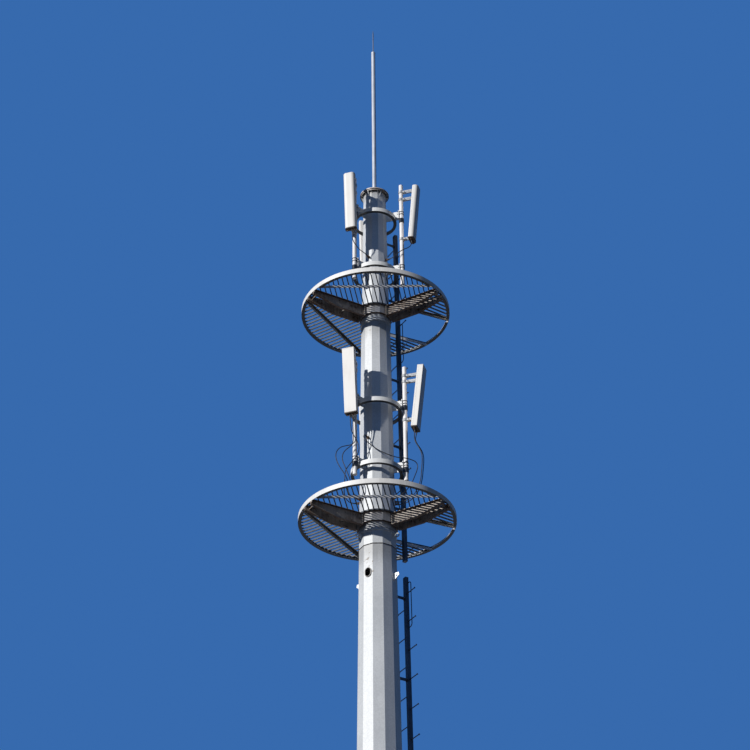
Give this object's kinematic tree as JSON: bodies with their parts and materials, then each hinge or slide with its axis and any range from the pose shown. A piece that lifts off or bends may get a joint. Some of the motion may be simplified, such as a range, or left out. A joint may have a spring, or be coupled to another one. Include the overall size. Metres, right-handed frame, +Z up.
{
  "type": "monopole cell tower",
  "caption": "Twelve-sided flanged steel monopole with two round work platforms, two tiers of panel antennas on hoops, a peg ladder and a lightning rod.",
  "frame": {"origin": "centre of the base flange's underside", "axes": "+Z up the pole; -Y towards the side the platforms' front gratings face"},
  "size_m": [3.0998, 3.0998, 33.685],
  "materials": {
    "pole_paint": "satin",
    "galvanised": "matt",
    "platform_steel": "matt",
    "grating_steel": "matt",
    "ladder_steel": "matt",
    "strap_steel": "matt",
    "pipe_paint": "satin",
    "radome": "matt",
    "connector_metal": "satin",
    "cable_jacket": "matt"
  },
  "bodies": {
    "root": {"base_flange": "galvanised", "base_gussets": "galvanised", "pole_section_1": "pole_paint", "pole_section_2": "pole_paint", "pole_section_3": "pole_paint", "pole_section_4": "pole_paint", "joint_lower_plates": "galvanised", "joint_upper_plates": "galvanised", "port_rims": "pole_paint", "lifting_lugs": "pole_paint", "top_flange": "galvanised", "top_gussets": "pole_paint", "cap_plate": "galvanised", "rod_socket": "galvanised", "lightning_rod": "galvanised", "rod_tip": "galvanised", "lower_platform_hub": "platform_steel", "lower_platform_arms": "platform_steel", "lower_platform_ring": "galvanised", "lower_deck_angles": "galvanised", "lower_gratings": "grating_steel", "lower_tier_hoops": "pipe_paint", "lower_tier_pipes": "pipe_paint", "lower_panel_right": "radome", "lower_panel_back": "radome", "lower_panel_left": "radome", "lower_panel_brackets": "galvanised", "upper_platform_hub": "platform_steel", "upper_platform_arms": "platform_steel", "upper_platform_ring": "galvanised", "upper_deck_angles": "galvanised", "upper_gratings": "grating_steel", "upper_tier_hoops": "pipe_paint", "upper_tier_pipes": "pipe_paint", "upper_panel_right": "radome", "upper_panel_back": "radome", "upper_panel_left": "radome", "upper_panel_brackets": "galvanised", "pipe_straps": "strap_steel", "panel_connectors": "connector_metal", "ladder_section_1": "ladder_steel", "ladder_section_2": "ladder_steel", "ladder_section_3": "ladder_steel", "ladder_stays": "ladder_steel", "ladder_side_bars": "ladder_steel", "cable_glands": "connector_metal", "lower_right_1_cable": "cable_jacket", "lower_right_2_cable": "cable_jacket", "lower_left_1_cable": "cable_jacket", "lower_left_2_cable": "cable_jacket", "lower_left_3_cable": "cable_jacket", "lower_front_cable": "cable_jacket", "upper_left_cable": "cable_jacket", "upper_right_cable": "cable_jacket"}
  },
  "joints": []
}
